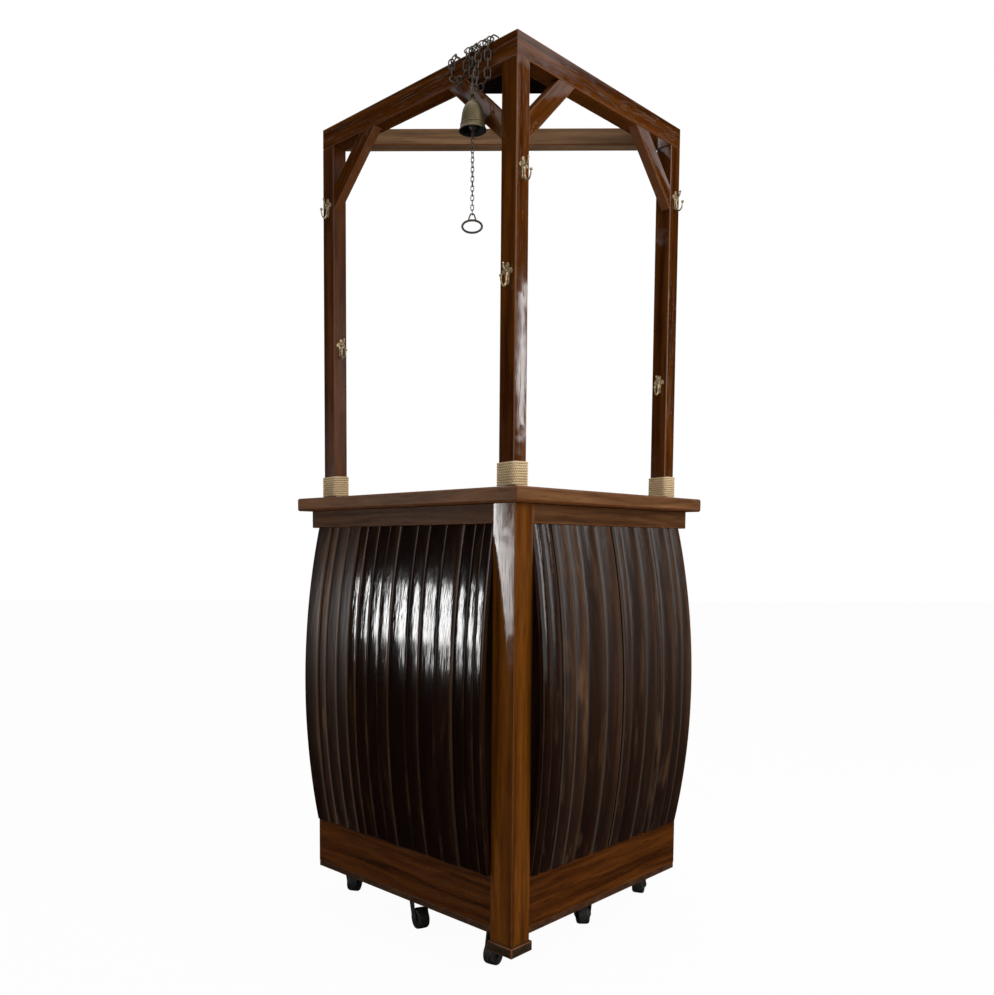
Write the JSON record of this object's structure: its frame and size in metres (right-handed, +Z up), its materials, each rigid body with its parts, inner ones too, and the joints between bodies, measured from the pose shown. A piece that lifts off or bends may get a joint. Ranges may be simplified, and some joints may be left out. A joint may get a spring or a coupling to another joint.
{
  "type": "bar counter",
  "caption": "Corner bar counter on casters: bowed dark staves, a mitred wooden top, a canopy on posts with rope wraps, hooks and a chain-hung bell.",
  "frame": {"origin": "on the floor, under the middle of the overall bounding box", "axes": "+Z up, -Y towards the front corner, +X to the right of someone who faces the corner"},
  "size_m": [1.0338, 0.6162, 1.9912],
  "materials": {
    "stave_wood": "dark gloss varnish",
    "top_wood": "gloss varnish",
    "frame_wood": "red-brown gloss varnish",
    "inner_wood": "stained, matt",
    "rope": "natural jute",
    "hook_brass": "cast, lightly polished",
    "bell_bronze": "aged bronze",
    "rusty_iron": "browned iron",
    "caster_metal": "black enamel",
    "caster_wheel": "matt black"
  },
  "bodies": {
    "counter": {"apron_left": "frame_wood", "apron_right": "frame_wood", "back_rail": "inner_wood", "beam_chain": "rusty_iron", "bottom_board": "inner_wood", "canopy_beam_back": "frame_wood", "canopy_beam_left": "frame_wood", "canopy_beam_right": "frame_wood", "canopy_post_front": "frame_wood", "canopy_post_left": "frame_wood", "canopy_post_right": "frame_wood", "caster_plates": "caster_metal", "corner_gusset": "frame_wood", "corner_post": "frame_wood", "counter_top_left": "top_wood", "counter_top_right": "top_wood", "end_brace_left": "frame_wood", "end_brace_right": "frame_wood", "end_panel_left": "inner_wood", "end_panel_right": "inner_wood", "front_brace_left": "frame_wood", "front_brace_right": "frame_wood", "lining_left": "inner_wood", "lining_right": "inner_wood", "pad_block": "frame_wood", "post_hooks": "hook_brass", "rope_wraps": "rope", "shelf": "inner_wood", "shelf_bearers": "inner_wood", "skirt_left": "frame_wood", "skirt_right": "frame_wood", "stave_cleats": "inner_wood", "staves_left": "stave_wood", "staves_right": "stave_wood", "upper_battens": "inner_wood"},
    "fork_front": {"caster_fork_front": "caster_metal"},
    "wheel_front": {"caster_wheel_front": "caster_wheel"},
    "fork_left_mid": {"caster_fork_left_mid": "caster_metal"},
    "wheel_left_mid": {"caster_wheel_left_mid": "caster_wheel"},
    "fork_left_far": {"caster_fork_left_far": "caster_metal"},
    "wheel_left_far": {"caster_wheel_left_far": "caster_wheel"},
    "fork_right_mid": {"caster_fork_right_mid": "caster_metal"},
    "wheel_right_mid": {"caster_wheel_right_mid": "caster_wheel"},
    "fork_right_far": {"caster_fork_right_far": "caster_metal"},
    "wheel_right_far": {"caster_wheel_right_far": "caster_wheel"},
    "bell": {"bell": "bell_bronze"},
    "clapper": {"clapper": "rusty_iron"},
    "pull_chain": {"pull_chain": "rusty_iron"},
    "pull_handle": {"pull_handle": "rusty_iron"}
  },
  "joints": [
    {"name": "swivel_front", "type": "hinge", "parent": "counter", "child": "fork_front", "pos_m": [-0.02192, -0.16029, 0.0808], "axis": [0, 0, 1], "continuous": true},
    {"name": "roll_front", "type": "hinge", "parent": "fork_front", "child": "wheel_front", "pos_m": [-0.03092, -0.17587, 0.025], "axis": [0.866, -0.5, 0], "continuous": true},
    {"name": "swivel_left_mid", "type": "hinge", "parent": "counter", "child": "fork_left_mid", "pos_m": [-0.20365, 0.03134, 0.0808], "axis": [0, 0, 1], "continuous": true},
    {"name": "roll_left_mid", "type": "hinge", "parent": "fork_left_mid", "child": "wheel_left_mid", "pos_m": [-0.19604, 0.01503, 0.025], "axis": [0.9063, 0.4226, 0], "continuous": true},
    {"name": "swivel_left_far", "type": "hinge", "parent": "counter", "child": "fork_left_far", "pos_m": [-0.38184, 0.23923, 0.0808], "axis": [0, 0, 1], "continuous": true},
    {"name": "roll_left_far", "type": "hinge", "parent": "fork_left_far", "child": "wheel_left_far", "pos_m": [-0.37718, 0.25662, 0.025], "axis": [-0.9659, 0.2588, 0], "continuous": true},
    {"name": "swivel_right_mid", "type": "hinge", "parent": "counter", "child": "fork_right_mid", "pos_m": [0.20365, 0.03134, 0.0808], "axis": [0, 0, 1], "continuous": true},
    {"name": "roll_right_mid", "type": "hinge", "parent": "fork_right_mid", "child": "wheel_right_mid", "pos_m": [0.20365, 0.04934, 0.025], "axis": [-1, 0, 0], "continuous": true},
    {"name": "swivel_right_far", "type": "hinge", "parent": "counter", "child": "fork_right_far", "pos_m": [0.38184, 0.23923, 0.0808], "axis": [0, 0, 1], "continuous": true},
    {"name": "roll_right_far", "type": "hinge", "parent": "fork_right_far", "child": "wheel_right_far", "pos_m": [0.38799, 0.25615, 0.025], "axis": [-0.9397, 0.342, 0], "continuous": true},
    {"name": "bell_swing", "type": "hinge", "parent": "counter", "child": "bell", "pos_m": [-0.08793, -0.1768, 1.86413], "axis": [0.7071, 0.7071, 0], "range_deg": [-25, 25]},
    {"name": "clapper_swing", "type": "hinge", "parent": "bell", "child": "clapper", "pos_m": [-0.08793, -0.1768, 1.84418], "axis": [0.7071, 0.7071, 0], "range_deg": [-15, 15]},
    {"name": "pull_chain_swing", "type": "hinge", "parent": "clapper", "child": "pull_chain", "pos_m": [-0.08793, -0.1768, 1.78898], "axis": [0.7071, 0.7071, 0], "range_deg": [-25, 25]},
    {"name": "handle_swing", "type": "hinge", "parent": "pull_chain", "child": "pull_handle", "pos_m": [-0.08793, -0.1768, 1.62198], "axis": [0, 1, 0], "range_deg": [-40, 40]}
  ]
}
